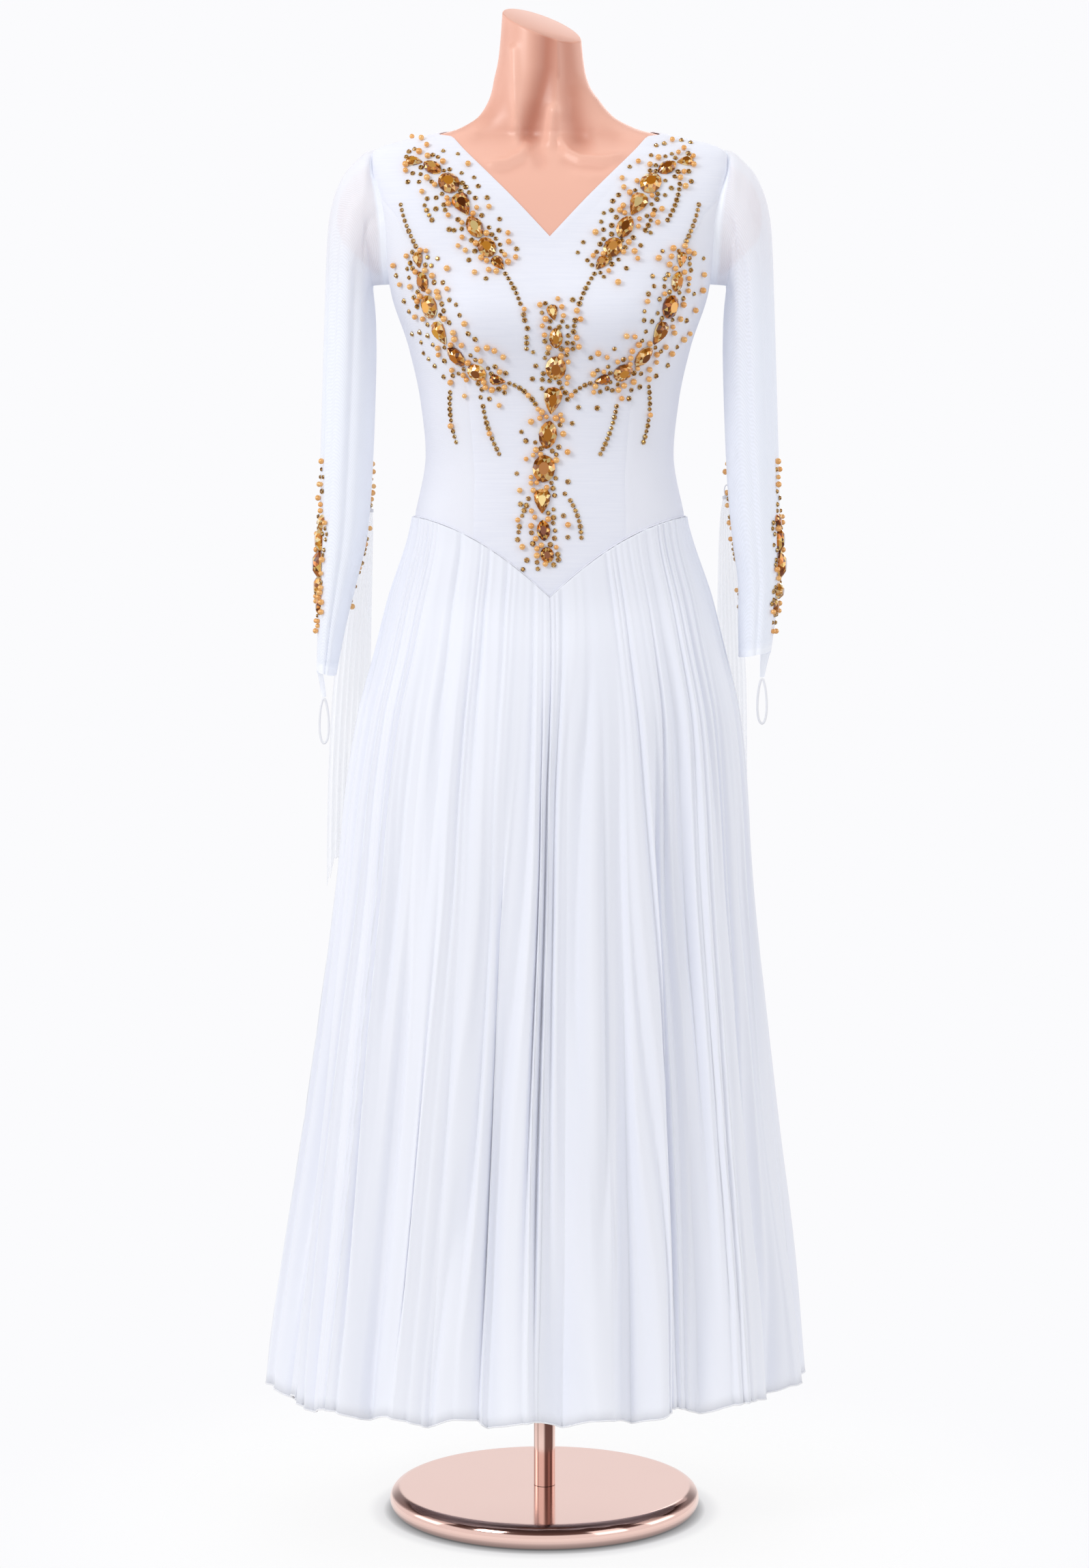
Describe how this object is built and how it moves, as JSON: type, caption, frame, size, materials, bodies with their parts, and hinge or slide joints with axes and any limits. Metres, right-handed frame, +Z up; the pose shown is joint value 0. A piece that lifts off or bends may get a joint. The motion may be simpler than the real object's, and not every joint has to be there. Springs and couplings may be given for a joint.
{
  "type": "ballroom dance dress on a dress form stand",
  "caption": "Long-sleeved V-neck ballroom dress with a basque waist, pleated chiffon skirt, floats and crystal sprigs, on a limbless dress form with pole and round base.",
  "frame": {"origin": "centre of the base plate's underside, on the floor under the pole", "axes": "+Z up, the dress faces -Y, the wearer's left is +X"},
  "size_m": [0.5358, 0.3476, 1.4733],
  "materials": {
    "bodice_crepe": "matt white crepe with a fine crosswise rib",
    "power_mesh": "matt white fine mesh",
    "sleeve_mesh": "sheer white stretch mesh",
    "chiffon": "soft white pleated chiffon",
    "elastic": "white covered elastic",
    "crystal": "cut amber glass, foiled behind",
    "form_plastic": "smooth skin-toned plastic with a soft gloss",
    "rose_gold": "polished rose gold plating"
  },
  "bodies": {
    "root": {"bodice_front": "bodice_crepe", "bodice_back": "bodice_crepe", "bodice_side_front_left": "power_mesh", "bodice_side_front_right": "power_mesh", "sleeve_left": "sleeve_mesh", "sleeve_right": "sleeve_mesh", "hand_tab_left": "sleeve_mesh", "hand_tab_right": "sleeve_mesh", "finger_loop_left": "elastic", "finger_loop_right": "elastic", "float_left": "chiffon", "float_right": "chiffon", "skirt_front_left": "chiffon", "skirt_front_right": "chiffon", "skirt_back_left": "chiffon", "skirt_back_right": "chiffon", "crystals_shoulder_left": "crystal", "crystals_shoulder_right": "crystal", "crystals_bust_left": "crystal", "crystals_bust_right": "crystal", "crystals_centre": "crystal", "crystals_arm_left": "crystal", "crystals_arm_right": "crystal", "form_torso": "form_plastic", "form_pole": "rose_gold", "base_plate": "rose_gold"}
  },
  "joints": []
}
